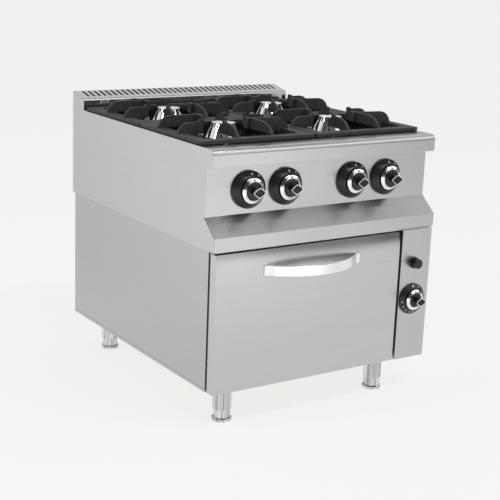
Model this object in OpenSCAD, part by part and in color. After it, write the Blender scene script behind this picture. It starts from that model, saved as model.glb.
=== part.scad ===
// Free-standing gas range with four open burners over a static gas oven.
// X runs left to right, Y runs front to back and Z is up from the floor.
// The origin is on the floor, in the middle of the overall footprint.

/* [Overall] */
// Width of the hob module across its side panels
body_w = 800; // [760:1:900]
// Depth from the front of the ledge to the rear face
body_d = 900; // [860:1:960]
// Height from the floor to the underside of the body
leg_h = 108; // [100:1:125]
// Thickness of the stainless sheet
sheet = 2; // [1.5:0.1:2.5]
// How far each lower side panel sits inside the hob side
side_inset = 3; // [2.5:0.5:6]

/* [Heights] */
// Height of the oven module, from its underside to the ledge
oven_h = 415; // [400:1:450]
// Height of the flat front of the ledge
ledge_h = 41; // [30:1:60]
// Height of the sloping part above the ledge
slope_h = 49; // [35:1:70]
// Height of the upright control panel
panel_h = 144; // [136:1:180]
// Height of the worktop's front edge
fascia_h = 50; // [44:1:70]
// Height of the flue above the worktop
flue_h = 53; // [45:1:80]

/* [Depths] */
// Setback of the worktop's front edge behind the ledge
fascia_back = 20; // [10:1:30]
// Setback of the control panel behind the ledge
panel_back = 58; // [50:1:75]
// Depth of the flue cover
flue_d = 80; // [70:1:110]
// Height that the flue's top loses towards its front
flue_fall = 15; // [8:1:22]
// How far the door front stands in front of the ledge
door_proud = 10; // [6:1:16]
// Setback of the lower back panel from the rear face
low_back_in = 12; // [6:1:30]
// Radius of the worktop's rounded front edge
nose_r = 16; // [10:1:22]

/* [Door] */
// Width of the control column
column_w = 125; // [118:1:156]
// How far the column's right edge lies in from the side
column_in = 10; // [2:1:16]
// Thickness of the door body
door_t = 36; // [34:1:38]
// Gap between the door and the oven front
door_gap = 6; // [5:0.5:8]
// Gap between the door and the ledge above it
door_top_gap = 4; // [3:1:10]
// Gap between the door and the control column
column_gap = 10; // [4:1:14]
// Radius of the hinge pins
pin_r = 4; // [3:0.1:5]
// Distance from each end of the door to its hinge
hinge_in = 79.5; // [60:0.5:110]

/* [Handle] */
// Length of the handle between its ends
handle_w = 341; // [280:1:400]
// Height of the handle strip
handle_h = 30; // [22:1:40]
// Thickness of the handle strip
handle_t = 4.5; // [3.5:0.1:6]
// How far the handle stands out from the door
handle_reach = 66; // [50:1:75]
// Distance from the door's top edge to the handle
handle_drop = 45; // [35:1:90]

/* [Oven] */
// How far the door laps over each side of the oven's mouth
door_lap = 49.5; // [46:0.5:60]
// Distance from the top of the oven's mouth to the ledge
cavity_top = 53; // [46:1:70]
// Inside depth of the oven
cavity_d = 666; // [640:1:690]
// Height of the oven floor above the underside of the body
cavity_z = 62; // [56:1:70]
// Thickness of the insulation
insul_t = 26; // [20:1:29]
// Height of the sole plate's underside above the oven floor
sole_z = 38; // [34:1:50]
// Depth of the oven shelf
shelf_d = 600; // [520:1:610]
// Travel of the shelf behind the closed door
shelf_travel = 30; // [20:1:34]

/* [Burners] */
// Distance between burners, front to back
burner_dy = 328; // [322:1:340]
// Distance from the rear face to the rear burners
burner_in = 281; // [276:1:300]
// Radius of the burner crown at its foot
crown_r = 55; // [50:0.5:62]
// Height of the burner crown
crown_h = 47; // [42:1:54]
// Depth of the wells round the burners
well_drop = 28; // [24:1:36]
// Width of each well
well_w = 300; // [280:1:320]
// Depth of each well, front to back
well_d = 262; // [240:1:270]
// Thickness of the enamelled wells
well_t = 1.5; // [1:0.1:1.8]

/* [Pan supports] */
// Distance from each side of the body to the pan supports
grid_margin = 6; // [4:0.5:20]
// Gap between neighbouring pan supports
grid_gap = 5; // [3:0.5:8]
// Width of the support's frame bars
grid_bar = 34; // [28:1:40]
// Thickness of the support's frame
grid_t = 10; // [8:1:12]
// Thickness of the support's fingers
finger_t = 9; // [7:0.5:12]
// Height of the fingers above the worktop
finger_h = 47; // [42:1:52]
// Height of the raised finger tips above their shoulders
tip_h = 6; // [4:1:8]

/* [Controls] */
// Middle of the left pair of knobs
pair_left = -194; // [-216:1:-181]
// Middle of the right pair of knobs
pair_right = 175.5; // [150:0.5:210]
// Distance between the knobs of a pair
knob_pitch = 127.5; // [122:0.5:150]
// Radius of the hob bezels at the panel
bezel_r = 54.5; // [50:0.5:60]
// Depth of the hob bezels
bezel_t = 24; // [18:1:28]
// Radius of the rings of the hob knobs
ring_r = 39; // [36:0.5:40]
// How far the hob knobs stand out from the panel
knob_reach = 62; // [60:1:80]
// Width of a knob's grip
grip_w = 41; // [36:1:50]
// Height of a knob's grip
grip_h = 30; // [20:1:34]
// Radius of the oven dial's bezel
dial_r = 49; // [44:0.5:54]
// Depth of the oven dial's bezel
dial_t = 12; // [10:1:18]
// How far the oven knob stands out from the column
dial_reach = 50; // [48:1:64]
// Radius of the ring of the oven knob
dial_ring_r = 33; // [28:0.5:36]
// Radius of the valve spindles
spindle_r = 4; // [3:0.1:5]
// Travel of a knob when it is pushed
knob_push = 3.5; // [2:0.1:4]
// Height of the oven dial above the underside of the body
dial_z = 194; // [180:1:230]
// Height of the igniter button above the underside of the body
button_z = 310; // [295:1:340]
// Radius of the igniter button
button_r = 15; // [12:0.5:17]
// How far the igniter button stands out
button_reach = 25; // [22:1:36]
// Travel of the igniter button
button_push = 4; // [3:0.5:5]

/* [Legs] */
// Radius of the leg tubes
leg_r = 28.5; // [25:0.5:30]
// Distance from the left side to the left legs
leg_left = 80; // [70:1:110]
// Distance from the right side to the right legs
leg_right = 151; // [130:1:180]
// Distance from the oven front to the front legs
leg_front = 30; // [30:1:60]
// Distance from the lower back to the rear legs
leg_back = 108; // [60:1:140]
// Height of the adjustable feet
foot_h = 36; // [30:1:44]
// Travel of the adjustable feet
foot_travel = 20; // [10:1:20]

/* [Gas] */
// Radius of the gas inlet pipe
inlet_r = 10.5; // [9:0.1:13]
// How far the gas inlet stands out at the back
inlet_out = 20; // [16:1:40]
// Radius of the gas manifold
manifold_r = 13.5; // [11:0.5:16]

/* [Hidden] */
$fn = 48;

// Clearances
run_gap = 0.05;   // shaft in a bore
seat_gap = 0.3;   // parts that rest near each other
pass_gap = 0.5;   // pipe through a sheet

// Planes from front to back
total_d = inlet_out + body_d + door_proud + max(handle_reach, dial_reach);
y_back = total_d / 2 - inlet_out;
y_ledge = y_back - body_d;
y_fascia = y_ledge + fascia_back;
y_panel = y_ledge + panel_back;
y_flue = y_back - flue_d;
y_door = y_ledge - door_proud;
y_frame = y_door + door_t + door_gap;
y_low_back = y_back - low_back_in;

// Levels from bottom to top
z_base = leg_h;
z_ledge = z_base + oven_h;
z_slope = z_ledge + ledge_h;
z_panel = z_slope + slope_h;
z_fascia = z_panel + panel_h;
z_top = z_fascia + fascia_h;
z_flue = z_top + flue_h;
z_lip = z_flue - flue_fall;

// Half widths
hob_x = body_w / 2;
hob_in = hob_x - sheet;
low_x = hob_x - side_inset;
low_in = low_x - sheet;

// Door and oven
door_w = 2 * low_x - column_w - column_gap;
door_x0 = -low_x;
door_x1 = door_x0 + door_w;
door_xc = (door_x0 + door_x1) / 2;
door_z0 = z_base + 2;
door_z1 = z_ledge - door_top_gap;
column_x = door_x1 + column_gap;
hinge_x = door_w / 2 - hinge_in;
hinge_y = y_door + door_t - 10;
hinge_z = door_z0 + 8;
cavity_w = door_w - 2 * door_lap;
cavity_h = oven_h - cavity_z - cavity_top;
cav_x0 = door_xc - cavity_w / 2;
cav_x1 = door_xc + cavity_w / 2;
cav_z0 = z_base + cavity_z;
cav_z1 = cav_z0 + cavity_h;
cav_y1 = y_frame + sheet + cavity_d;

// Controls
knob_x = [pair_left - knob_pitch / 2, pair_left + knob_pitch / 2,
          pair_right - knob_pitch / 2, pair_right + knob_pitch / 2];
knob_z = z_panel + panel_h / 2 - 3;
column_x1 = low_x - column_in;
dial_x = (column_x + low_x) / 2 - 12;
dial_top = z_base + dial_z;
button_top = z_base + button_z;
valve_d = 50;

// Burners: front left, front right, rear left, rear right
grid_w = (body_w - grid_gap) / 2 - grid_margin;
burner_dx = grid_w + grid_gap;
grid_near = burner_dy / 2 - grid_gap / 2;
grid_far = burner_in - flue_d - grid_gap;
grid_d = grid_near + grid_far;
burner_y = [y_back - burner_in - burner_dy, y_back - burner_in];
burners = [for (y = burner_y, s = [-1, 1]) [s * burner_dx / 2, y]];
crown_z = z_top - 15;
pipe_z = crown_z - 68;

// Legs
leg_xy = [[-low_x + leg_left, y_frame + leg_front], [low_x - leg_right, y_frame + leg_front],
          [-low_x + leg_left, y_low_back - leg_back], [low_x - leg_right, y_low_back - leg_back]];
frame_h = 30;

// ---- shapes used by several parts ----

// Points along an arc, in degrees
function arc(c, r, a0, a1, n = 8) =
    [for (i = [0:n]) let (a = a0 + (a1 - a0) * i / n) c + r * [cos(a), sin(a)]];

// Outline of a rectangle with rounded corners
function round_rect(w, d, r) = concat(
    arc([w / 2 - r, d / 2 - r], r, 0, 90), arc([r - w / 2, d / 2 - r], r, 90, 180),
    arc([r - w / 2, r - d / 2], r, 180, 270), arc([w / 2 - r, r - d / 2], r, 270, 360));

function unit(v) = v / norm(v);
function left(v) = [-v.y, v.x];

// Offset of one corner of a folded path to its left
function corner(p, i, t) =
    let (n = len(p) - 1,
         a = left(unit(p[min(i + 1, n)] - p[min(i, n - 1)])),
         b = left(unit(p[max(i, 1)] - p[max(i - 1, 0)])))
    t * (a + b) / (1 + a * b);

// Outline of a sheet folded along a path, with its thickness to the left
function folded(p, t = sheet) =
    concat(p, [for (i = [len(p) - 1:-1:0]) p[i] + corner(p, i, t)]);

module block(lo, hi) {
    translate(lo) cube(hi - lo);
}

// A section in Y and Z drawn out along X
module along_x(points, x0, x1) {
    translate([x0, 0, 0]) rotate([90, 0, 90]) linear_extrude(x1 - x0) polygon(points);
}

module rod_x(p, r, l) {
    translate(p) rotate([0, 90, 0]) cylinder(r = r, h = l);
}

module rod_y(p, r, l) {
    translate(p) rotate([-90, 0, 0]) cylinder(r = r, h = l);
}

// A bent pipe with round elbows
module pipe(points, r) {
    for (i = [0:len(points) - 2]) {
        d = points[i + 1] - points[i];
        translate(points[i]) rotate([0, acos(d.z / norm(d)), atan2(d.y, d.x)])
            cylinder(r = r, h = norm(d));
        if (i > 0) translate(points[i]) sphere(r = r);
    }
}

// ---- body ----

module base_frame() {
    y0 = y_frame + sheet;
    y1 = y_low_back - sheet;
    bar = leg_r + 4;
    color("gainsboro") difference() {
        block([-low_in, y0, z_base], [low_in, y1, z_base + frame_h]);
        for (x = [[-low_in + frame_h, leg_xy[1].x - bar], [leg_xy[1].x + bar, low_in - frame_h]])
            for (y = [[leg_xy[0].y + bar, leg_xy[2].y - bar], [leg_xy[2].y + bar, y1 - frame_h]])
                block([x[0], y[0], z_base - 1], [x[1], y[1], z_base + frame_h + 1]);
        block([-low_in + sheet, y0 + sheet, z_base + sheet],
              [low_in - sheet, y1 - sheet, z_base + frame_h - sheet]);
    }
}

module leg_tubes() {
    plate = 4;
    bush = 16;
    color("silver") for (p = leg_xy) translate([p.x, p.y, 0]) {
        translate([0, 0, z_base - plate]) difference() {
            linear_extrude(plate) polygon(round_rect(leg_r * 2, leg_r * 2, 8));
            translate([0, 0, -1]) cylinder(r = leg_r - 3, h = plate + 2);
        }
        difference() {
            translate([0, 0, foot_h]) cylinder(r = leg_r, h = z_base - plate - foot_h);
            translate([0, 0, foot_h + bush]) cylinder(r = leg_r - 2.5, h = z_base);
            translate([0, 0, foot_h - 1]) cylinder(r = 8 + run_gap, h = bush + 2);
        }
    }
}

module lower_side(s) {
    flange = 20;
    hem_h = 9;
    mirror([s < 0 ? 1 : 0, 0, 0]) color("lightgray") {
        block([low_in, y_frame, z_base], [low_x, y_low_back, z_ledge]);
        block([low_in - flange, y_frame + sheet, z_ledge - sheet],
              [low_in, y_low_back - sheet, z_ledge]);
        block([low_x, y_frame, z_base], [low_x + 1, y_low_back, z_base + hem_h]);
    }
}

module lower_side_left() { lower_side(-1); }
module lower_side_right() { lower_side(1); }

module back_panel() {
    color("lightgray") difference() {
        union() {
            block([-low_in, y_low_back - sheet, z_base], [low_in, y_low_back, z_ledge]);
            block([-low_in, y_low_back - sheet, z_ledge], [low_in, y_back - sheet, z_ledge + sheet]);
            block([-hob_in, y_back - sheet, z_ledge], [hob_in, y_back, z_flue - sheet]);
        }
        rod_y([inlet_x, y_back - 10, manifold_z], inlet_pipe_r + pass_gap, 20);
    }
}

module control_column() {
    color("gainsboro") difference() {
        union() {
            block([column_x, y_door, z_base], [column_x1, y_door + sheet, z_ledge]);
            block([column_x, y_door, z_base], [column_x + sheet, y_frame, z_ledge]);
            block([column_x1 - sheet, y_door, z_base], [column_x1, y_frame, z_ledge]);
            for (z = [z_base, z_ledge - sheet])
                block([column_x, y_door, z], [column_x1, y_frame, z + sheet]);
        }
        rod_y([dial_x, y_door - 1, dial_top], spindle_r + 2, sheet + 2);
        rod_y([dial_x, y_door - 1, button_top], button_r - 2 + pass_gap, sheet + 2);
    }
}

module oven_front_frame() {
    flange = 14;
    color("gainsboro") difference() {
        union() {
            block([-low_in, y_frame, z_base], [low_in, y_frame + sheet, z_ledge - sheet]);
            block([-low_in, y_frame, z_ledge - sheet], [low_in, y_frame + sheet, z_ledge]);
        }
        block([cav_x0, y_frame - 1, cav_z0], [cav_x1, y_frame + sheet + 1, cav_z1]);
        block([column_x + flange, y_frame - 1, z_base + frame_h + 8],
              [low_in - flange, y_frame + sheet + 1, z_ledge - 30]);
    }
}

module oven_cavity() {
    color("darkgray") difference() {
        block([cav_x0 - sheet, y_frame + sheet, cav_z0 - sheet],
              [cav_x1 + sheet, cav_y1 + sheet, cav_z1 + sheet]);
        block([cav_x0, y_frame, cav_z0], [cav_x1, cav_y1, cav_z1]);
        block([duct_x - duct_w / 2, cav_y1 - 50, cav_z1 - 1],
              [duct_x + duct_w / 2, cav_y1 - 10, cav_z1 + sheet + 1]);
        rod_x([cav_x1 - 1, feed_y, burner_tube_z], burner_tube_r + pass_gap, sheet + 2);
    }
}

module oven_insulation() {
    o = sheet + insul_t;
    color("khaki") difference() {
        block([cav_x0 - o, y_frame + sheet, cav_z0 - o], [cav_x1 + o, cav_y1 + o, cav_z1 + o]);
        block([cav_x0 - sheet, y_frame, cav_z0 - sheet],
              [cav_x1 + sheet, cav_y1 + sheet, cav_z1 + sheet]);
        block([duct_x - duct_w / 2 - sheet, cav_y1 - 50 - sheet, cav_z1],
              [duct_x + duct_w / 2 + sheet, cav_y1 - 10 + sheet, cav_z1 + o + 1]);
        rod_x([cav_x1, feed_y, burner_tube_z], burner_tube_r + pass_gap, o + 1);
    }
}

// ---- inside the oven ----

burner_tube_r = 13;
burner_tube_z = cav_z0 + burner_tube_r + 4;
feed_y = y_frame + 150;
duct_x = door_xc;
duct_w = 200;
sole_t = 5;

module oven_sole_plate() {
    color("dimgray") difference() {
        union() {
            block([cav_x0 + 4, y_frame + 20, cav_z0 + sole_z],
                  [cav_x1 - 4, cav_y1 - 20, cav_z0 + sole_z + sole_t]);
            for (x = [cav_x0 + 4, cav_x1 - 8])
                for (y = [y_frame + 20, cav_y1 - 60])
                    block([x, y, cav_z0], [x + 4, y + 40, cav_z0 + sole_z]);
        }
        for (i = [-5:5])
            for (y = [y_frame + 50, cav_y1 - 90])
                block([door_xc + i * 45 - 15, y, cav_z0 + sole_z - 1],
                      [door_xc + i * 45 + 15, y + 8, cav_z0 + sole_z + sole_t + 1]);
    }
}

module oven_burner() {
    y0 = y_frame + 70;
    length = cavity_d - 150;
    color("slategray") difference() {
        union() {
            rod_y([door_xc, y0, burner_tube_z], burner_tube_r, length);
            rod_x([door_xc, feed_y, burner_tube_z], burner_tube_r, column_x + 20 - door_xc);
            for (y = [y0 + 20, y0 + length - 30])
                block([door_xc - 20, y, cav_z0], [door_xc + 20, y + 4, burner_tube_z]);
        }
        rod_x([door_xc, feed_y, burner_tube_z], burner_tube_r - 2, column_x + 21 - door_xc);
        rod_y([door_xc, y0 + 4, burner_tube_z], burner_tube_r - 2, length - 8);
        for (i = [0:15])
            rod_x([door_xc - burner_tube_r - 1, y0 + 30 + i * (length - 60) / 15,
                   burner_tube_z + 4], 1.5, burner_tube_r * 2 + 2);
    }
}

rail_r = 3.5;
rail_x = cavity_w / 2 - 12;
post_x = cavity_w / 2 - 7;
rail_z = [for (i = [0:2]) cav_z0 + sole_z + sole_t + 40 + i * 65];
rail_front = 40;
shelf_y0 = cav_y1 - 16 - shelf_d;
wire_r = 3;

module shelf_guides() {
    y0 = y_frame + sheet + rail_front;
    y1 = cav_y1 - 10;
    color("silver") for (s = [-1, 1]) translate([door_xc, 0, 0]) {
        for (z = rail_z) rod_y([s * rail_x, y0 - 12, z], rail_r, y1 - y0 + 12);
        for (y = [y0 + 10, y1 - 30]) {
            translate([s * post_x, y, rail_z[0] - 30])
                cylinder(r = rail_r, h = rail_z[2] - rail_z[0] + 60);
            for (z = [rail_z[0] - 18, rail_z[2] + 18])
                rod_x([s > 0 ? post_x : -cavity_w / 2, y, z], rail_r, cavity_w / 2 - post_x);
        }
    }
}

module oven_shelf() {
    side_x = rail_x - 2;
    z = rail_z[1] + rail_r + wire_r + seat_gap;
    color("silver") translate([door_xc, 0, 0]) {
        for (s = [-1, 1]) rod_y([s * side_x, shelf_y0, z], wire_r, shelf_d);
        for (y = [shelf_y0 + wire_r, shelf_y0 + shelf_d / 2, shelf_y0 + shelf_d - wire_r])
            rod_x([-side_x, y, z], wire_r, side_x * 2);
        for (i = [-6:6])
            rod_y([i * side_x / 7, shelf_y0 + wire_r, z + wire_r - 1], 2, shelf_d - 2 * wire_r);
    }
}

// ---- hob module ----

// Side view of the flue's top, from its rounded front lip up to the flat hem at the rear
function flue_top() =
    let (r = 8, slope = atan(flue_fall / flue_d))
    concat(arc([y_flue + r, z_lip - r], r, 180, 90 + slope),
           [[y_back - flue_hem, z_flue], [y_back, z_flue]]);

// Side view of the hob: flue, worktop edge, panel, slope and ledge
function hob_outline() = concat(
    [[y_back, z_ledge], [y_ledge, z_ledge], [y_ledge, z_slope], [y_panel, z_panel],
     [y_panel, z_fascia], [y_fascia, z_fascia]],
    arc([y_fascia + nose_r, z_top - nose_r], nose_r, 180, 90),
    arc([y_flue - 5, z_top + 5], 5, 270, 360),
    flue_top());

module hob_side(s) {
    flange = 20;
    mirror([s < 0 ? 1 : 0, 0, 0]) color("lightgray") {
        along_x(hob_outline(), hob_in, hob_x);
        block([hob_in - flange, y_frame + 30, z_ledge], [hob_in, y_back - 30, z_ledge + sheet]);
    }
}

module hob_side_left() { hob_side(-1); }
module hob_side_right() { hob_side(1); }

module control_panel() {
    path = [[y_panel, z_fascia], [y_panel, z_panel], [y_ledge, z_slope],
            [y_ledge, z_ledge], [y_frame + sheet + 10, z_ledge]];
    color("gainsboro") difference() {
        along_x(folded(path), -hob_in, hob_in);
        for (x = knob_x)
            rod_y([x, y_panel - 1, knob_z], spindle_r + 2, sheet + 2);
    }
}

module worktop() {
    path = concat([[y_flue + flue_step, z_top]],
                  arc([y_fascia + nose_r, z_top - nose_r], nose_r, 90, 180),
                  [[y_fascia, z_fascia], [y_panel + 20, z_fascia]]);
    color("gainsboro") difference() {
        along_x(folded(path), -hob_in, hob_in);
        for (p = burners)
            translate([p.x, p.y + well_shift(p), z_top - sheet - 1])
                linear_extrude(sheet + 2) polygon(round_rect(well_w, well_d, 40));
    }
}

// The wells are a little nearer the outer edges than the burners
function well_shift(p) = (p.y < burner_y[1] ? -1 : 1) * 8;

module burner_wells() {
    lip = 8;
    color("dimgray") for (p = burners)
        translate([p.x, p.y, z_top]) difference() {
            translate([0, well_shift(p), 0]) union() {
                linear_extrude(well_t) polygon(round_rect(well_w + 2 * lip, well_d + 2 * lip, 48));
                translate([0, 0, -well_drop]) linear_extrude(well_drop)
                    polygon(round_rect(well_w - 1, well_d - 1, 39.5));
            }
            translate([0, well_shift(p), well_t - well_drop]) linear_extrude(well_drop + 1)
                polygon(round_rect(well_w - 1 - 2 * well_t, well_d - 1 - 2 * well_t, 38));
            translate([0, 0, -well_drop - 1]) cylinder(r = neck_r + pass_gap, h = 10);
            translate([-pilot_x, 0, -well_drop - 1]) cylinder(r = pilot_r + pass_gap, h = 10);
            translate([-pilot_x, thermo_y, -well_drop - 1]) cylinder(r = 2.5 + pass_gap, h = 10);
        }
}

flue_lip = 14;
flue_step = 12;
flue_hem = 4;
slot_pitch = 20.5;
slot_w = 8.5;

module flue_cover() {
    side_in = 21;
    front_in = 24;
    n = floor((hob_x - side_in) / slot_pitch);
    path = concat([[y_flue + flue_step, z_top - 20], [y_flue + flue_step, z_lip - flue_lip],
                   [y_flue, z_lip - flue_lip]], flue_top());
    color("lightgray") difference() {
        along_x(folded(path, -sheet), -hob_in, hob_in);
        for (i = [-n:n])
            block([i * slot_pitch - slot_w / 2, y_flue + front_in, z_lip - sheet - 4],
                  [i * slot_pitch + slot_w / 2, y_back - flue_hem - 2, z_flue + 1]);
    }
}

module flue_duct() {
    y0 = cav_y1 - 50;
    y1 = cav_y1 - 10;
    y2 = y_flue + flue_step + sheet + 6;
    y3 = y_back - sheet - 6;
    z0 = cav_z1 + sheet;
    z1 = z_ledge + 60;
    x = duct_w / 2;
    color("darkgray") translate([duct_x, 0, 0]) difference() {
        union() {
            block([-x - sheet, y0 - sheet, z0], [x + sheet, y1 + sheet, z1 + sheet]);
            block([-x - sheet, y0 - sheet, z1 - 40], [x + sheet, y3, z1 + sheet]);
            block([-x - sheet, y2, z1 - 40], [x + sheet, y3, z_flue - 30]);
        }
        block([-x, y0, z0 - 1], [x, y1, z1]);
        block([-x, y0, z1 - 38], [x, y3 - sheet, z1]);
        block([-x, y2 + sheet, z1 - 38], [x, y3 - sheet, z_flue]);
    }
}

// ---- gas train ----

neck_r = 30;
pilot_r = 5;
pilot_x = crown_r + 22;
thermo_y = 16;
valve_y = y_panel + sheet + 8;
manifold_y = valve_y + valve_d / 2;
manifold_z = knob_z - 48;
inlet_x = hob_in - 60;
inlet_y = manifold_y + 60;
inlet_pipe_r = inlet_r - 1;

// Where the feed to the oven's tap leaves the manifold and comes down the column
feed_back = 40;
feed_side = 32;

// The pipe from the manifold through the back panel, with its threaded end
module gas_inlet() {
    color("silver") {
        rod_y([inlet_x, inlet_y, manifold_z], inlet_pipe_r, y_back - inlet_y);
        rod_y([inlet_x, y_back, manifold_z], inlet_r, inlet_out);
    }
}

module gas_manifold() {
    top = knob_z - 22;
    y0 = manifold_y + feed_back;
    x1 = dial_x + feed_side;
    y1 = y_door + sheet + 8 + valve_d / 2;
    color("silver") {
        rod_x([knob_x[0] - 40, manifold_y, manifold_z], manifold_r, inlet_x - knob_x[0] + 40);
        translate([inlet_x, manifold_y, manifold_z]) sphere(r = manifold_r);
        rod_y([inlet_x, manifold_y, manifold_z], manifold_r, inlet_y - manifold_y);
        for (x = knob_x) translate([x, manifold_y, manifold_z]) cylinder(r = 9, h = top - manifold_z);
        pipe([[inlet_x, y0, manifold_z], [inlet_x, y0, z_ledge + 40], [x1, y0, z_ledge + 40],
              [x1, y0, z_ledge - 60], [x1, y1, z_ledge - 60], [x1, y1, dial_top],
              [dial_x + 17, y1, dial_top]], 7);
    }
}

// One gas tap, with its spindle's bore along Y and its nose on the panel
module gas_valve(p) {
    translate(p) difference() {
        union() {
            translate([-17, 8, -22]) cube([34, valve_d, 44]);
            rod_y([0, 0, 0], 11, 8);
            rod_y([0, 8 + valve_d, 0], 7, 6);
        }
        rod_y([0, -1, 0], spindle_r + run_gap, 31);
    }
}

module gas_valves() {
    color("goldenrod") {
        for (x = knob_x) gas_valve([x, y_panel + sheet, knob_z]);
        gas_valve([dial_x, y_door + sheet, dial_top]);
    }
}

injector_y = 112;

module burner_pipes() {
    y0 = valve_y + valve_d + 6;
    color("peru") {
        for (i = [0:3]) {
            row = i == 0 || i == 3 ? 0 : 1;
            side = i < 2 ? -1 : 1;
            end = [side * burner_dx / 2, burner_y[row] - injector_y, pipe_z];
            y1 = row == 0 ? y0 + 15 : end.y - 30;
            pipe([[knob_x[i], y0, knob_z], [knob_x[i], y1, knob_z],
                  [end.x, y1, knob_z], [end.x, y1, end.z], end], 4);
            translate(end) rotate([-90, 0, 0]) cylinder(r = 8, h = 10);
            translate([end.x - 2, end.y, end.z]) cube([4, 16, 20]);
        }
        y2 = y_door + sheet + 14 + valve_d;
        pipe([[dial_x, y2, dial_top], [dial_x, y2 + 60, dial_top],
              [dial_x, feed_y, dial_top], [dial_x, feed_y, burner_tube_z],
              [column_x + 34, feed_y, burner_tube_z]], 4);
    }
}

module burner_bodies() {
    cup_r = crown_r - 2;
    z_well = z_top - well_drop;
    color([0.2, 0.2, 0.2]) for (p = burners) translate([p.x, p.y, 0]) difference() {
        union() {
            translate([0, 0, z_well + well_t])
                cylinder(r1 = neck_r + 4, r2 = cup_r, h = crown_z - z_well - well_t);
            translate([0, 0, pipe_z - 18]) cylinder(r = neck_r, h = crown_z - pipe_z + 18);
            translate([0, 0, crown_z]) cylinder(r = neck_r, h = crown_h - 14);
            translate([0, 0, z_well - 8]) cylinder(r = neck_r + 12, h = 8);
            rod_y([0, 26 - injector_y, pipe_z], 16, injector_y - 26);
            rod_y([0, 16 - injector_y, pipe_z], 22, 10);
        }
        translate([0, 0, pipe_z]) cylinder(r = neck_r - 6, h = crown_z - pipe_z + crown_h - 20);
        rod_y([0, 15 - injector_y, pipe_z], 12, injector_y - 15);
    }
}

module pilot_burners() {
    z_well = z_top - well_drop;
    color("silver") for (p = burners) translate([p.x - pilot_x, p.y, 0]) {
        translate([0, 0, pipe_z]) cylinder(r = pilot_r, h = z_top - 6 - pipe_z);
        translate([0, 0, z_top - 6]) cylinder(r1 = pilot_r + 2, r2 = pilot_r, h = 8);
        translate([0, thermo_y, pipe_z]) cylinder(r = 2.5, h = z_top - pipe_z);
        translate([-6, -6, z_well - 12]) cube([12, thermo_y + 12, 12]);
    }
}

// ---- controls ----

module bezel(p, r, front_r, t) {
    rim = t * 0.4;
    translate(p) rotate([90, 0, 0]) difference() {
        union() {
            cylinder(r = r, h = rim);
            translate([0, 0, rim]) cylinder(r1 = r, r2 = front_r, h = t - rim);
        }
        translate([0, 0, -1]) cylinder(r = 12, h = t + 2);
    }
}

module knob_bezels() {
    color([0.12, 0.12, 0.12]) {
        for (p = hob_taps) bezel(p, bezel_r, ring_r + 3, bezel_t);
        bezel(oven_tap, dial_r, dial_ring_r + 3, dial_t);
    }
}

// How far the front of a spindle lies behind the front of its knob
spindle_in = 22;

// A valve spindle with a flat, from inside the tap to inside the knob
module spindle(p, t, reach) {
    front = reach - spindle_in;
    color("silver") translate(p) difference() {
        rod_y([0, -front, 0], spindle_r, front + sheet + 28);
        block([-spindle_r, -front - 1, spindle_r - 1], [spindle_r, -t, spindle_r + 1]);
    }
}

// A knob: ring, domed hub and a pointed grip, bored for the spindle
module knob(p, r, t, reach) {
    back = t + knob_push + seat_gap;
    face = back + 5;
    hub = r * 0.72;
    bore = reach - spindle_in + knob_push + 1;
    w = min(grip_w / 2, hub);
    h = grip_h / 2;
    color([0.15, 0.15, 0.15]) translate(p) rotate([90, 0, 0]) difference() {
        union() {
            translate([0, 0, back]) cylinder(r = r, h = 5);
            translate([0, 0, face]) cylinder(r1 = hub, r2 = hub - 6, h = 12);
            translate([0, 0, 8]) cylinder(r = 9, h = back - 8);
            translate([0, 0, face]) linear_extrude(reach - face)
                polygon([[-w, -2], [-3, -h], [3, -h], [w, -2], [w, 2], [3, h], [-3, h], [-w, 2]]);
        }
        difference() {
            translate([0, 0, 7]) cylinder(r = spindle_r + run_gap, h = bore - 7);
            block([-spindle_r - 1, spindle_r - 1 + run_gap, t + knob_push],
                  [spindle_r + 1, spindle_r + 1, reach]);
        }
    }
}

hob_taps = [for (x = knob_x) [x, y_panel, knob_z]];
oven_tap = [dial_x, y_door, dial_top];

module spindle_1() { spindle(hob_taps[0], bezel_t, knob_reach); }
module spindle_2() { spindle(hob_taps[1], bezel_t, knob_reach); }
module spindle_3() { spindle(hob_taps[2], bezel_t, knob_reach); }
module spindle_4() { spindle(hob_taps[3], bezel_t, knob_reach); }
module oven_spindle() { spindle(oven_tap, dial_t, dial_reach); }
module knob_1() { knob(hob_taps[0], ring_r, bezel_t, knob_reach); }
module knob_2() { knob(hob_taps[1], ring_r, bezel_t, knob_reach); }
module knob_3() { knob(hob_taps[2], ring_r, bezel_t, knob_reach); }
module knob_4() { knob(hob_taps[3], ring_r, bezel_t, knob_reach); }
module oven_knob() { knob(oven_tap, dial_ring_r, dial_t, dial_reach); }

module igniter_body() {
    color([0.15, 0.15, 0.15]) translate([dial_x, y_door, button_top]) difference() {
        union() {
            rod_y([0, -8, 0], button_r + 3, 8);
            rod_y([0, 0, 0], button_r - 2, 50);
        }
        rod_y([0, -9, 0], 10 + run_gap, 40);
    }
}

module igniter_button() {
    color([0.1, 0.1, 0.1]) translate([dial_x, y_door, button_top]) {
        rod_y([0, -button_reach, 0], button_r, button_reach - 8 - button_push - seat_gap);
        rod_y([0, -13, 0], 10, 13 + 20);
    }
}

// ---- door ----

module hinge_brackets() {
    color("silver") for (s = [-1, 1]) translate([door_xc + s * hinge_x, 0, 0]) difference() {
        union() {
            block([-3, hinge_y, hinge_z - 8], [3, y_frame, hinge_z + 8]);
            rod_x([-3, hinge_y, hinge_z], 8, 6);
            block([-20, y_frame - 2.5, hinge_z - 6], [20, y_frame, hinge_z + 16]);
        }
        rod_x([-4, hinge_y, hinge_z], pin_r + run_gap, 8);
    }
}

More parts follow.
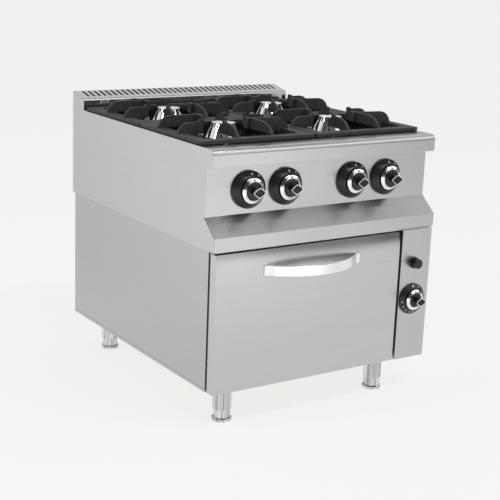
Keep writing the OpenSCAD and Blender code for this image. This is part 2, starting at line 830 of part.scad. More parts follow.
module hinge_arms() {
    y0 = y_door + sheet;
    color("silver") for (s = [-1, 1]) translate([door_xc + s * hinge_x, 0, 0]) {
        for (x = [-7.5, 4.5]) {
            block([x, y0, hinge_z - 6], [x + 3, hinge_y, hinge_z + 30]);
            rod_x([x, hinge_y, hinge_z], 6, 3);
        }
        rod_x([-7.5, hinge_y, hinge_z], pin_r, 15);
        block([-7.5, y0, hinge_z + 16], [7.5, y0 + 6, hinge_z + 30]);
    }
}

// Openings in the door that leave room for the hinge brackets
module hinge_notches() {
    for (s = [-1, 1]) translate([door_xc + s * hinge_x, 0, 0])
        block([-8, hinge_y - 14, door_z0 - 1], [8, y_door + door_t + 1, hinge_z + 14]);
}

module door_shell() {
    color("gainsboro") difference() {
        block([door_x0, y_door, door_z0], [door_x1, y_door + door_t, door_z1]);
        block([door_x0 + sheet, y_door + sheet, door_z0 + sheet],
              [door_x1 - sheet, y_door + door_t + 1, door_z1 - sheet]);
        hinge_notches();
    }
}

module door_liner() {
    rim = 10;
    y1 = y_door + door_t;
    deep = door_gap + sheet + 8;
    color("silver") difference() {
        union() {
            block([door_x0 + sheet, y1 - sheet, door_z0 + sheet],
                  [door_x1 - sheet, y1, door_z1 - sheet]);
            block([cav_x0 + rim, y1, cav_z0 + rim], [cav_x1 - rim, y1 + deep, cav_z1 - rim]);
        }
        block([cav_x0 + rim + sheet, y1 - sheet - 1, cav_z0 + rim + sheet],
              [cav_x1 - rim - sheet, y1 + deep - sheet, cav_z1 - rim - sheet]);
        hinge_notches();
    }
}

module door_insulation() {
    rim = 12;
    color("khaki") block([door_x0 + rim, y_door + sheet + 4, cav_z0 - 4],
                         [door_x1 - rim, y_door + door_t - sheet, door_z1 - rim]);
}

module door_gasket() {
    y0 = y_door + door_t;
    y1 = y_frame - seat_gap;
    a = 8;
    b = 18;
    color([0.1, 0.1, 0.1]) difference() {
        block([cav_x0 - b, y0, cav_z0 - b], [cav_x1 + b, y1, cav_z1 + b]);
        block([cav_x0 - a, y0 - 1, cav_z0 - a], [cav_x1 + a, y1 + 1, cav_z1 + a]);
    }
}

handle_z = door_z1 - handle_drop - handle_h;

// Plan of the handle: flat feet, short ramps and a bowed grip
function handle_path() =
    let (h = handle_w / 2, foot = 12, ramp = 14, bow = handle_reach - handle_t - ramp,
         c = h - foot - ramp, r = (c * c + bow * bow) / (2 * bow), a = asin(c / r))
    concat([[-h, 0], [foot - h, 0]],
           arc([0, -handle_reach + handle_t + r], r, 270 - a, 270 + a, 24),
           [[h - foot, 0], [h, 0]]);

module door_handle() {
    color("silver") translate([door_xc, y_door - handle_t, handle_z])
        linear_extrude(handle_h) polygon(folded(handle_path(), handle_t));
}

module handle_screws() {
    color("gray") for (s = [-1, 1]) for (z = [0.3, 0.7])
        translate([door_xc + s * (handle_w / 2 - 6), y_door + sheet, handle_z + z * handle_h])
            rotate([-90, 0, 0]) cylinder(r = 4, h = 3);
}

module panel_screws() {
    head_r = 4.5;
    head_t = 2;
    color("gray") {
        for (x = [-0.9, -0.45, 0, 0.45, 0.9]) {
            for (z = [z_base + 25, z_ledge - 20])
                rod_y([x * low_in, y_low_back, z], head_r, head_t);
            for (z = [z_ledge + 25, z_flue - 20])
                rod_y([x * low_in, y_back, z], head_r, head_t);
        }
    }
}

// ---- pan supports and burner crowns ----

// Side view of a finger, from its foot on the frame to its tip. It rises over a length, and its
// underside is arched from the end of its seat on the frame.
function finger_side(l, seat, rise) =
    let (base = grid_foot + grid_t - 3, low = grid_foot + grid_t / 2, under = 17,
         arch = [for (i = [8:-1:0]) let (a = 90 * i / 8)
             [seat + (l - seat) * (1 - cos(a)), low + (under - low) * sin(a)]])
    concat([[0, low]], shoulder(rise, base, finger_h - 1), [[l - 2, finger_h], [l, finger_h - 2]], arch);

// The same for a finger with a raised nose, and a lower tail beyond the nose
function raised_side(l, tail, rise) =
    let (base = grid_foot + grid_t - 3, low = grid_foot + grid_t / 2, nose = l - tail)
    concat([[0, low]], shoulder(rise, base, finger_h - tip_h),
           [[nose - 16, finger_h - tip_h], [nose - 10, finger_h - 1], [nose - 7, finger_h],
            [nose - 3, finger_h], [nose, finger_h - 3]],
           tail > 0 ? [[nose + 1, finger_h - tip_h - 8], [l, finger_h - tip_h - 10]] : [],
           [[l, low]]);

// The rounded rise of a finger from its foot
function shoulder(rise, base, top, a0 = 20) = [for (i = [0:8]) let (a = a0 + (90 - a0) * i / 8)
    [rise * (cos(a0) - cos(a)) / cos(a0), base + (top - base) * (sin(a) - sin(a0)) / (1 - sin(a0))]];

grid_foot = 2;

module plate_between(foot, tip, side) {
    d = tip - foot;
    translate([foot.x, foot.y, z_top]) rotate([0, 0, atan2(d.y, d.x)]) rotate([90, 0, 0])
        translate([0, 0, -finger_t / 2]) linear_extrude(finger_t) polygon(side);
}

module finger(foot, tip, inset, rise) {
    plate_between(foot, tip, finger_side(norm(tip - foot), grid_bar - inset - 2.5, rise));
}

module raised_finger(foot, tip, tail, rise) {
    plate_between(foot, tip, raised_side(norm(tip - foot), tail, rise));
}

// A support turned by half a turn is the same, so one casting serves all four
module pan_support(i) {
    front = i < 2 ? 1 : -1;
    p = burners[i];
    w = grid_w / 2;
    side_in = 9;
    end_in = 30;
    side_rise = 38;
    end_rise = 60;
    shift = -front * (grid_far - grid_near) / 2;
    color([0.2, 0.2, 0.2]) translate([p.x, p.y, 0]) {
        translate([0, shift, z_top + grid_foot]) linear_extrude(grid_t) difference() {
            polygon(round_rect(grid_w, grid_d, 6));
            polygon(round_rect(grid_w - 2 * grid_bar, grid_d - 2 * grid_bar, 26));
        }
        for (x = [-1, 1]) for (y = [-1, 1])
            translate([x * (w - 10), shift + y * (grid_d / 2 - 10), z_top])
                cylinder(r = 6, h = grid_foot + 1);
        for (s = [-1, 1]) {
            foot = (s * front > 0 ? grid_far : grid_near) - end_in;
            finger([-s * (w - side_in), s * 67], [-s * 43.5, s * 58.5], side_in, side_rise);
            raised_finger([-s * (w - side_in), -s * 48], [-s * 100, -s * 43], 0, side_rise);
            finger([s * 66, -s * foot], [s * 54, -s * 30], end_in, end_rise);
            raised_finger([-s * 54, -s * foot], [-s * 39.5, -s * 47], 20, end_rise);
        }
    }
}

module pan_support_1() { pan_support(0); }
module pan_support_2() { pan_support(1); }
module pan_support_3() { pan_support(2); }
module pan_support_4() { pan_support(3); }

// A slotted cone under a flat round plate
module burner_crown(i) {
    plate_t = 4;
    wall = 4;
    plate_r = crown_r - 19;
    neck_top = plate_r - 2;
    cone_h = crown_h - plate_t;
    n = 18;
    color("silver") translate([burners[i].x, burners[i].y, crown_z]) {
        difference() {
            cylinder(r1 = crown_r, r2 = neck_top, h = cone_h);
            translate([0, 0, -1]) cylinder(r1 = crown_r - wall, r2 = neck_top - wall, h = cone_h - 2);
            for (k = [0:n - 1]) rotate([0, 0, (k + 0.5) * 360 / n])
                block([neck_top - wall - 4, -3, cone_h - 16], [crown_r, 3, cone_h - 4]);
        }
        translate([0, 0, cone_h]) cylinder(r = plate_r, h = plate_t);
    }
}

module burner_crown_1() { burner_crown(0); }
module burner_crown_2() { burner_crown(1); }
module burner_crown_3() { burner_crown(2); }
module burner_crown_4() { burner_crown(3); }

// ---- adjustable feet ----

module foot(i) {
    base_h = 8;
    color("gray") translate([leg_xy[i].x, leg_xy[i].y, 0]) {
        cylinder(r = leg_r + 1, h = base_h);
        translate([0, 0, base_h]) cylinder(r = leg_r - 3, h = foot_h - base_h, $fn = 8);
        translate([0, 0, foot_h]) cylinder(r = 8, h = 12 + foot_travel);
    }
}

module foot_1() { foot(0); }
module foot_2() { foot(1); }
module foot_3() { foot(2); }
module foot_4() { foot(3); }

base_frame();
leg_tubes();
lower_side_left();
lower_side_right();
back_panel();
control_column();
oven_front_frame();
oven_cavity();
oven_insulation();
oven_sole_plate();
oven_burner();
shelf_guides();
hob_side_left();
hob_side_right();
control_panel();
worktop();
burner_wells();
flue_cover();
flue_duct();
gas_inlet();
gas_manifold();
gas_valves();
burner_pipes();
burner_bodies();
pilot_burners();
igniter_body();
knob_bezels();
hinge_brackets();
panel_screws();
door_shell();
door_liner();
door_insulation();
door_gasket();
door_handle();
handle_screws();
hinge_arms();
oven_shelf();
igniter_button();
pan_support_1();
pan_support_2();
pan_support_3();
pan_support_4();
burner_crown_1();
burner_crown_2();
burner_crown_3();
burner_crown_4();
spindle_1();
spindle_2();
spindle_3();
spindle_4();
oven_spindle();
knob_1();
knob_2();
knob_3();
knob_4();
oven_knob();
foot_1();
foot_2();
foot_3();
foot_4();
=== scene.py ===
"""Looks of the gas range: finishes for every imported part, and detailed pieces for what shows most."""

import math

import bmesh
import bpy
from mathutils import Matrix, Vector

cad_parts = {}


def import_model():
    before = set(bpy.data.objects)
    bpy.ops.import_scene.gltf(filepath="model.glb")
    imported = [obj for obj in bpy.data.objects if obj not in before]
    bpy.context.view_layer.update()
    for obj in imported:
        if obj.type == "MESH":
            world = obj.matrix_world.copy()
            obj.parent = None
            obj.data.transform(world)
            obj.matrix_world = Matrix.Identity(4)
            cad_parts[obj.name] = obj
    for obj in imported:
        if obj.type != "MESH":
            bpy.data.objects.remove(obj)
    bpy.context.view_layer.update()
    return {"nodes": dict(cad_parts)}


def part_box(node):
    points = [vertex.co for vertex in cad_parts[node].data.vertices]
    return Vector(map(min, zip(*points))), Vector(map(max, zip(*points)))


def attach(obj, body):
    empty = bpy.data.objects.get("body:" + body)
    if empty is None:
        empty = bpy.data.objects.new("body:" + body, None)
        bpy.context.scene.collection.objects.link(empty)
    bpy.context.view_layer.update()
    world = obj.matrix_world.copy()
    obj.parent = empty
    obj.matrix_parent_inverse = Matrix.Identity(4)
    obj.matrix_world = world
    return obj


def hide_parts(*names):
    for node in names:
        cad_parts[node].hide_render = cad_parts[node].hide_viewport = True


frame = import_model()
nodes = frame["nodes"]
MM = 0.001
OUT = (0, -1, 0)
UP = (0, 0, 1)


# ---- materials ----

class Look:
    """A Principled material, with noise, bump and colour nodes added by name."""

    def __init__(self, name, color, metallic=0.0, roughness=0.5, **sockets):
        self.material = bpy.data.materials.new(name)
        self.material.use_nodes = True
        self.tree = self.material.node_tree
        self.shader = self.tree.nodes["Principled BSDF"]
        self.shader.inputs["Base Color"].default_value = (*color, 1)
        self.shader.inputs["Metallic"].default_value = metallic
        self.shader.inputs["Roughness"].default_value = roughness
        for socket, value in sockets.items():
            self.shader.inputs[socket.replace("_", " ")].default_value = value
        self.coords = self.node("ShaderNodeTexCoord").outputs["Object"]
        self.normal = None

    def node(self, kind, **settings):
        made = self.tree.nodes.new(kind)
        for key, value in settings.items():
            setattr(made, key, value)
        return made

    def link(self, output, target):
        self.tree.links.new(output, target)

    def noise(self, scale, detail=3.0, stretch=(1, 1, 1)):
        """Noise with the given number of features per metre, stretched along the axes."""
        mapping = self.node("ShaderNodeMapping")
        mapping.inputs["Scale"].default_value = stretch
        texture = self.node("ShaderNodeTexNoise")
        texture.inputs["Scale"].default_value = scale
        texture.inputs["Detail"].default_value = detail
        self.link(self.coords, mapping.inputs["Vector"])
        self.link(mapping.outputs["Vector"], texture.inputs["Vector"])
        return texture.outputs["Fac"]

    def spread(self, value, low, high, inner=(0.3, 0.7)):
        """Maps a noise value to a range."""
        mapped = self.node("ShaderNodeMapRange")
        mapped.inputs["From Min"].default_value = inner[0]
        mapped.inputs["From Max"].default_value = inner[1]
        mapped.inputs["To Min"].default_value = low
        mapped.inputs["To Max"].default_value = high
        self.link(value, mapped.inputs["Value"])
        return mapped.outputs["Result"]

    def rough(self, value, low, high):
        self.link(self.spread(value, low, high), self.shader.inputs["Roughness"])
        return self

    def tint(self, value, dark, light, inner=(0.3, 0.7)):
        """Colour that runs from dark to light with a noise value."""
        mix = self.node("ShaderNodeMix", data_type="RGBA")
        mix.inputs["A"].default_value = (*dark, 1)
        mix.inputs["B"].default_value = (*light, 1)
        self.link(self.spread(value, 0.0, 1.0, inner), mix.inputs["Factor"])
        self.link(mix.outputs["Result"], self.shader.inputs["Base Color"])
        return self

    def edges(self, radius):
        """Rounds the shading of sharp edges."""
        node = self.node("ShaderNodeBevel", samples=4)
        node.inputs["Radius"].default_value = radius
        self.normal = node.outputs["Normal"]
        self.link(self.normal, self.shader.inputs["Normal"])
        return self

    def bump(self, value, strength, distance):
        node = self.node("ShaderNodeBump")
        node.inputs["Strength"].default_value = strength
        node.inputs["Distance"].default_value = distance
        self.link(value, node.inputs["Height"])
        if self.normal is not None:
            self.link(self.normal, node.inputs["Normal"])
        self.normal = node.outputs["Normal"]
        self.link(self.normal, self.shader.inputs["Normal"])
        return self


# Reflectance of stainless sheet, and how far its grain lines are drawn out
STEEL_LEVEL = 0.56
GRAIN_STRETCH = 0.012


def shade(level):
    """A grey with steel's faint cast."""
    return (level, level * 1.005, level * 0.995)


def brushed(name, grain, level=STEEL_LEVEL, roughness=(0.2, 0.3)):
    """Stainless sheet with fine lines along one axis, faint smudges and a slight waviness."""
    stretch = [1.0, 1.0, 1.0]
    stretch["XYZ".index(grain)] = GRAIN_STRETCH
    look = Look(name, shade(level), metallic=1.0)
    bands = look.noise(420, 4, stretch)
    smudges = look.noise(3.5, 4)
    look.tint(bands, shade(level * 0.975), shade(level * 1.02))
    look.rough(smudges, *roughness)
    look.bump(look.noise(1400, 4, stretch), 0.025, 0.0002)
    return look.material


def plated(name):
    """Zinc plate with a mottled, slightly blue shine."""
    look = Look(name, (0.5, 0.51, 0.53), metallic=1.0, roughness=0.35)
    look.tint(look.noise(60, 6), (0.42, 0.43, 0.46), (0.6, 0.6, 0.61))
    return look.rough(look.noise(25, 4), 0.3, 0.5).edges(0.0006).material


def polished(name):
    """Mirror-bright steel with a little haze."""
    look = Look(name, shade(0.86), metallic=1.0)
    look.rough(look.noise(30, 4), 0.035, 0.09)
    return look.bump(look.noise(12, 2), 0.08, 0.001).material


def tube_steel(name):
    """Bright drawn tube with painted reflections: light and dark streaks along it in its colour."""
    look = Look(name, shade(0.5), metallic=1.0)
    # Painted reflection: the colour runs from dark to bright in streaks along the tube, standing in for
    # reflected surroundings.
    look.tint(look.noise(150, 3, (1, 1, 0.02)), shade(0.34), shade(0.8), (0.36, 0.62))
    look.rough(look.noise(60, 3, (1, 1, 0.05)), 0.12, 0.24)
    return look.bump(look.noise(600, 3, (1, 1, 0.02)), 0.05, 0.0003).material


def cast_iron(name):
    """Matt black casting: fine grain and softer lumps."""
    look = Look(name, (0.05, 0.05, 0.052), roughness=0.62, Specular_IOR_Level=0.45)
    look.tint(look.noise(70, 6), (0.036, 0.036, 0.038), (0.062, 0.062, 0.064))
    look.rough(look.noise(140, 4), 0.5, 0.72)
    look.bump(look.noise(1500, 3), 0.35, 0.0003)
    return look.bump(look.noise(210, 3), 0.35, 0.0007).material


def enamel(name):
    """Glossy black enamel with a faint orange peel."""
    look = Look(name, (0.012, 0.012, 0.013), roughness=0.16, Coat_Weight=0.6, Coat_Roughness=0.06)
    look.rough(look.noise(40, 4), 0.14, 0.3)
    return look.bump(look.noise(160, 2), 0.12, 0.0005).material


def plastic(name, level, roughness):
    """Moulded black plastic with a fine grain."""
    look = Look(name, (level, level, level * 1.02))
    look.rough(look.noise(90, 5), *roughness)
    return look.bump(look.noise(900, 3), 0.12, 0.0002).material


def print_white(name):
    """White printing ink."""
    look = Look(name, (0.85, 0.85, 0.84), roughness=0.45)
    return look.rough(look.noise(700, 3), 0.38, 0.55).material


def oven_enamel(name):
    """Grey-blue enamel with the fine pale specks of an oven lining."""
    look = Look(name, (0.05, 0.055, 0.06), roughness=0.25, Coat_Weight=0.3)
    look.tint(look.noise(900, 2), (0.035, 0.038, 0.042), (0.16, 0.17, 0.18), (0.55, 0.75))
    return look.rough(look.noise(20, 4), 0.2, 0.38).material


def wool(name):
    """Mineral wool board with long fibres."""
    look = Look(name, (0.62, 0.52, 0.3), roughness=0.95, Sheen_Weight=0.3)
    fibres = look.noise(500, 6, (1, 0.15, 1))
    look.tint(fibres, (0.45, 0.36, 0.18), (0.72, 0.63, 0.4))
    return look.bump(fibres, 0.8, 0.002).material


def gasket_rubber(name):
    """Braided door seal, dark grey."""
    look = Look(name, (0.02, 0.02, 0.02), roughness=0.7)
    weave = look.node("ShaderNodeTexWave", bands_direction="DIAGONAL")
    weave.inputs["Scale"].default_value = 260
    look.link(look.coords, weave.inputs["Vector"])
    return look.bump(weave.outputs["Fac"], 0.5, 0.0004).material


def turned(name, dark, light):
    """Turned or drawn metal with a faint tarnish."""
    look = Look(name, light, metallic=1.0)
    look.tint(look.noise(50, 5), dark, light)
    return look.rough(look.noise(120, 4), 0.2, 0.34).edges(0.0004).material


# The floor's painted glow, which stands in for uneven studio light: its level round the range, in front of
# it from left to right, and beside it from left to right
FLOOR_GLOW = 0.775
FRONT_GLOW = (1.26, 0.54)
LEFT_GLOW = (1.02, 0.68)


def painted_glow_floor(name):
    """Painted light: a floor that glows by itself, even round the range, brighter front left and dimmer
    front right.
    """
    look = Look(name, (0.2, 0.2, 0.2), roughness=0.9, Specular_IOR_Level=0.0)
    look.shader.inputs["Emission Color"].default_value = (1, 1, 1, 1)
    parts = look.node("ShaderNodeSeparateXYZ")
    look.link(look.coords, parts.inputs["Vector"])
    x, y = parts.outputs["X"], parts.outputs["Y"]

    def math_node(operation, a, b):
        made = look.node("ShaderNodeMath", operation=operation)
        for socket, value in zip(made.inputs, (a, b)):
            if isinstance(value, float):
                socket.default_value = value
            else:
                look.link(value, socket)
        return made.outputs["Value"]

    slant = math_node("ADD", math_node("MULTIPLY", x, 0.8), math_node("MULTIPLY", y, 0.6))
    ahead = look.spread(slant, *FRONT_GLOW, (-1.0, 0.6))
    in_front = look.spread(y, 1.0, 0.0, (-2.2, -1.1))
    aslant = math_node("ADD", x, math_node("MULTIPLY", y, 0.45))
    beside = look.spread(aslant, *LEFT_GLOW, (-1.6, -0.2))
    leftward = math_node("SUBTRACT", x, math_node("MULTIPLY", y, 0.4))
    on_left = look.spread(leftward, 1.0, 0.0, (-1.5, -1.0))
    # Painted light: the glow is raised front left and lowered front right, in place of uneven lamp light on
    # the floor.
    glow = FLOOR_GLOW
    for value, weight in ((ahead, in_front), (beside, on_left)):
        step = math_node("MULTIPLY", math_node("SUBTRACT", value, glow), weight)
        glow = math_node("ADD", step, glow)
    look.link(glow, look.shader.inputs["Emission Strength"])
    return look.material


STEEL_X = brushed("stainless_grain_x", "X")
STEEL_Y = brushed("stainless_grain_y", "Y")
# Painted shade: a darker copy of the stainless for the lower sides, standing in for the shade near the
# floor.
SHADED_LOW_STEEL = brushed("shaded_lower_side_steel", "Y", 0.5)
COLUMN_STEEL = brushed("column_steel", "Z", STEEL_LEVEL, (0.32, 0.4))
PANEL_STEEL = brushed("panel_steel", "X", STEEL_LEVEL, (0.25, 0.33))
HANDLE_STEEL = brushed("handle_steel", "X", 0.85, (0.12, 0.2))
ZINC = plated("zinc_plate")
CHROME = polished("polished_steel")
LEG_STEEL = tube_steel("leg_steel")
IRON = cast_iron("cast_iron")
WELL_BLACK = enamel("black_enamel")
BLACK = plastic("black_plastic", 0.018, (0.28, 0.4))
GRIP_BLACK = plastic("grip_plastic", 0.012, (0.2, 0.3))
WHITE = print_white("white_print")
LINING = oven_enamel("oven_enamel")
WOOL = wool("mineral_wool")
SEAL = gasket_rubber("door_seal")
BRASS = turned("brass", (0.5, 0.36, 0.14), (0.75, 0.58, 0.28))
COPPER = turned("copper", (0.5, 0.24, 0.14), (0.78, 0.45, 0.3))
SCREW = turned("screw_steel", (0.45, 0.45, 0.45), (0.62, 0.62, 0.62))
SOOT = plastic("sooty_duct", 0.03, (0.55, 0.75))


# ---- mesh helpers ----

def piece(name, verts, faces, material, body, slot, sharp=35):
    """A mesh from points in metres, smooth except where faces meet at more than sharp degrees."""
    mesh = bpy.data.meshes.new(name)
    mesh.from_pydata([tuple(v) for v in verts], [], faces)
    bm = bmesh.new()
    bm.from_mesh(mesh)
    bmesh.ops.remove_doubles(bm, verts=bm.verts, dist=1e-6)
    bmesh.ops.recalc_face_normals(bm, faces=bm.faces)
    bm.to_mesh(mesh)
    bm.free()
    smooth(mesh, sharp)
    mesh.materials.append(material)
    obj = bpy.data.objects.new(name, mesh)
    bpy.context.scene.collection.objects.link(obj)
    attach(obj, body)
    return obj


def smooth(mesh, sharp):
    """Smooth shading, except where faces meet at more than sharp degrees."""
    mesh.polygons.foreach_set("use_smooth", [True] * len(mesh.polygons))
    mesh.set_sharp_from_angle(angle=math.radians(sharp))


def round_edges(obj, width, segments, angle=35):
    """Rounds an object's sharp edges by a width in millimetres, and keeps its flats flat."""
    bevel = obj.modifiers.new("rounded edges", "BEVEL")
    bevel.width = width * MM
    bevel.segments = segments
    bevel.limit_method = "ANGLE"
    bevel.angle_limit = math.radians(angle)
    bevel.harden_normals = True


def lathe(profile, origin, axis, steps=96, closed=False):
    """Verts and faces of a profile of (radius, height) in millimetres, turned about an axis."""
    axis = Vector(axis)
    side = Vector((1, 0, 0))
    other = axis.cross(side)
    verts = []
    for k in range(steps):
        angle = math.tau * k / steps
        out = side * math.cos(angle) + other * math.sin(angle)
        verts += [Vector(origin) + (out * r + axis * h) * MM for r, h in profile]
    n = len(profile)
    faces = []
    for k in range(steps):
        a, b = k * n, (k + 1) % steps * n
        for i in range(n if closed else n - 1):
            j = (i + 1) % n
            faces.append((a + i, b + i, b + j, a + j))
    return verts, faces


def loft(rings, cap=True):
    """Verts and faces that join closed rings of points, with both ends capped, none, or the last."""
    n = len(rings[0])
    verts = [p for ring in rings for p in ring]
    faces = []
    for k in range(len(rings) - 1):
        a, b = k * n, (k + 1) * n
        faces += [(a + i, a + (i + 1) % n, b + (i + 1) % n, b + i) for i in range(n)]
    if cap is True:
        faces.append(tuple(range(n))[::-1])
    if cap:
        faces.append(tuple(range(len(verts) - n, len(verts))))
    return verts, faces


def joined(parts):
    """Verts and faces of several shapes as one."""
    verts, faces = [], []
    for more_verts, more_faces in parts:
        start = len(verts)
        verts += more_verts
        faces += [tuple(start + i for i in face) for face in more_faces]
    return verts, faces


def arc(center, radius, start, end, steps):
    """Points along an arc from a start to an end angle in degrees."""
    points = []
    for i in range(steps + 1):
        angle = math.radians(start + (end - start) * i / steps)
        points.append((center[0] + radius * math.cos(angle), center[1] + radius * math.sin(angle)))
    return points


def half_width(name):
    """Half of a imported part's width, in millimetres."""
    low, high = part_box(name)
    return (high.x - low.x) / 2 / MM


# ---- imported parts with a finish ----

def dress(name, material, width, segments=2):
    """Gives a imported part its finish, and rounds its edges by a width in millimetres."""
    obj = nodes[name]
    obj.data.materials.clear()
    obj.data.materials.append(material)
    if width:
        weld = obj.modifiers.new("weld", "WELD")
        weld.merge_threshold = 1e-5
        flats = obj.modifiers.new("merged flats", "DECIMATE")
        flats.decimate_type = "DISSOLVE"
        flats.angle_limit = math.radians(1)
        round_edges(obj, width, segments)
        normals = obj.modifiers.new("flat shading", "WEIGHTED_NORMAL")
        normals.keep_sharp = True


def dress_body():
    for name in ("hob_side_left", "hob_side_right"):
        dress(name, STEEL_Y, 0.9)
    # The lower sides get the darker copy of the stainless, which is painted shade.
    for name in ("lower_side_left", "lower_side_right"):
        dress(name, SHADED_LOW_STEEL, 0.9)
    dress("control_panel", PANEL_STEEL, 0.7)
    dress("worktop", STEEL_X, 1.6, 3)
    dress("flue_cover", STEEL_X, 0.7)
    dress("oven_front_frame", STEEL_X, 0.4)
    dress("back_panel", STEEL_X, 0.5)
    dress("control_column", COLUMN_STEEL, 0.9)
    dress("base_frame", ZINC, 0.5)
    dress("leg_tubes", LEG_STEEL, 0.5)
    dress("flue_duct", SOOT, 0.5)
    dress("burner_wells", WELL_BLACK, 0.8)
    dress("panel_screws", SCREW, 0.5)


def dress_inside():
    for name in ("oven_cavity", "oven_sole_plate"):
        dress(name, LINING, 0.8)
    dress("oven_insulation", WOOL, 0)
    dress("oven_burner", ZINC, 0.3)
    dress("shelf_guides", CHROME, 0)
    dress("oven_shelf", CHROME, 0)
    dress("gas_inlet", ZINC, 0.4)
    dress("gas_manifold", ZINC, 0)
    dress("gas_valves", BRASS, 0.6)
    dress("burner_pipes", COPPER, 0)
    dress("burner_bodies", IRON, 0.8)
    dress("pilot_burners", ZINC, 0.3)
    for name in nodes:
        if name.startswith("spindle_") or name == "oven_spindle":
            dress(name, BRASS, 0.2)


def dress_door():
    door_front()
    dress("door_liner", STEEL_X, 1.0)
    dress("door_insulation", WOOL, 0)
    dress("door_gasket", SEAL, 2.0, 3)
    dress("door_handle", HANDLE_STEEL, 0.8, 3)
    dress("handle_screws", SCREW, 0.4)
    dress("hinge_brackets", ZINC, 0.4)
    dress("hinge_arms", ZINC, 0.4)


# ---- knobs and bezels ----
#
# Sizes in millimetres. Heights count outwards, along the spindle, from the sheet that carries the bezel.
# back: where the ring starts. hub: radius of the dome. grip: half sizes of the lozenge.
# ring_in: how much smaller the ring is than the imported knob.

HOB_KNOB = {"back": 27.8, "hub": 25.5, "grip": (20.5, 15.0), "ring_in": 2.0}
OVEN_KNOB = {"back": 15.8, "hub": 21.5, "grip": (18.5, 13.5), "ring_in": 0.5}
BORE = 4.5
NECK = 9.0
NECK_BACK = 8.0
HUB_SIDE = 8.5
DOME = (7.0, 5.5)
LOZENGE_POWER = 1.22
RIB_PITCH = 4.2
TRIM_WIDTH = 2.4

# Bezels: height of the rim's side, and height of the floor inside. The ring stands clear by RING_GAP.
HOB_BEZEL = {"side": 9.6, "recess": 18}
OVEN_BEZEL = {"side": 4.8, "recess": 8}
BEZEL_BORE = 12
BEZEL_LIP = 1.2
BEZEL_LIFT = 0.4
RING_GAP = 1.5
HOB_FRONT_IN = 3.8

# Printed marks: place on the clock face, half width and half length, and place between rim and front
HOB_MARKS = ((0.0, (2.9, 4.0), 0.55), (1.0, (2.6, 3.6), 0.5), (5.0, (1.0, 2.2), 0.5))
OVEN_MARKS = ((11.9, (3.0, 3.2), 0.5), (1.0, (2.0, 2.4), 0.5))
OVEN_TICKS = (8.75, 8.0, 7.25, 6.5, 5.83)
TICK_SIZE = (1.2, 3.0)
MARK_LIFT = (-0.3, 0.22)


def lozenge(width, height, y, place, steps=56):
    """A rounded lozenge across the y axis, with half sizes in millimetres."""
    ring = []
    for k in range(steps):
        angle = math.tau * k / steps
        c, t = math.cos(angle), math.sin(angle)
        x = math.copysign(abs(c) ** (2 / LOZENGE_POWER), c) * width
        z = math.copysign(abs(t) ** (2 / LOZENGE_POWER), t) * height
        ring.append(place + Vector((x, -y, z)) * MM)
    return ring


def trim_band(place, width, height, low, high):
    """A closed trim band that follows a lozenge's edge."""
    inner_width = width - TRIM_WIDTH
    inner_height = height - TRIM_WIDTH
    rings = [
        lozenge(width, height, low, place),
        lozenge(width, height, high - 0.5, place),
        lozenge(width - 0.4, height - 0.4, high, place),
        lozenge(inner_width + 0.4, inner_height + 0.3, high, place),
        lozenge(inner_width, inner_height + 0.1, high - 0.5, place),
        lozenge(inner_width, inner_height + 0.1, low, place),
    ]
    rings.append(rings[0])
    return loft(rings, cap=False)


def ribs(place, width, height, low, high):
    """Upright ribs across a lozenge's face, each as tall as the lozenge is there."""
    shapes = []
    count = int(width / RIB_PITCH)
    for k in range(-count, count + 1):
        x = k * RIB_PITCH
        tall = height * (1 - (abs(x) / width) ** LOZENGE_POWER) ** (1 / LOZENGE_POWER) - 0.3
        if tall < 1:
            continue
        rings = []
        for half, y in ((1.0, low), (0.7, high)):
            corners = ((-half, -tall), (half, -tall), (half, tall), (-half, tall))
            rings.append([place + Vector((x + side, -y, z)) * MM for side, z in corners])
        shapes.append(loft(rings))
    return shapes


def pointer(place, radius, back):
    """A small triangle on the ring, at the top, whose face follows the ring's flank."""
    base, tip = radius - 7.6, radius - 1.8
    corners = ((-3.6, base), (3.6, base), (0, tip))
    low = [place + Vector((x, -(back + 2.0), z)) * MM for x, z in corners]
    high = [place + Vector((x, -(back + 3.6 + (radius - z) * 0.36), z)) * MM for x, z in corners]
    return loft([low, high])


def hub_profile(radius, hub, back):
    """Half section of a knob's body: bored neck, flange behind the ring, and domed hub."""
    across, rise = DOME
    flange = [
        (BORE, NECK_BACK), (NECK, NECK_BACK), (NECK, back), (radius - 2.5, back),
        (radius - 2.2, back + 1.6), (hub, back + 3.2), (hub, back + HUB_SIDE),
    ]
    dome = []
    for degrees in (18, 36, 54, 72):
        angle = math.radians(degrees)
        dome.append((hub - across + across * math.cos(angle), back + HUB_SIDE + rise * math.sin(angle)))
    return flange + dome + [(hub - 11, back + 14.4), (BORE, back + 14.8)]


def ring_profile(radius, hub, back):
    """Closed section of the bright ring: outer rim, sloping flank, groove and inner bead."""
    return [
        (radius - 3, back), (radius - 0.5, back), (radius, back + 0.6), (radius, back + 2.0),
        (radius - 0.7, back + 2.7), (hub + 4.6, back + 5.6), (hub + 3.8, back + 5.2),
        (hub + 3.1, back + 6.4), (hub + 1.9, back + 6.9), (hub + 0.9, back + 6.3),
        (hub + 0.4, back + 4.4), (hub + 0.4, back + 1.5),
    ]


def grip(place, wide, tall, back, reach):
    """The lozenge grip, narrow at the hub, with a rounded front edge. Its foot is open for the bore."""
    return loft([
        lozenge(wide * 0.74, tall * 0.74, back + 12, place),
        lozenge(wide * 0.8, tall * 0.8, back + 20, place),
        lozenge(wide - 0.4, tall - 0.4, reach - 5, place),
        lozenge(wide - 0.1, tall - 0.1, reach - 3.5, place),
        lozenge(wide - 1, tall - 1, reach - 1.4, place),
    ], cap="last")


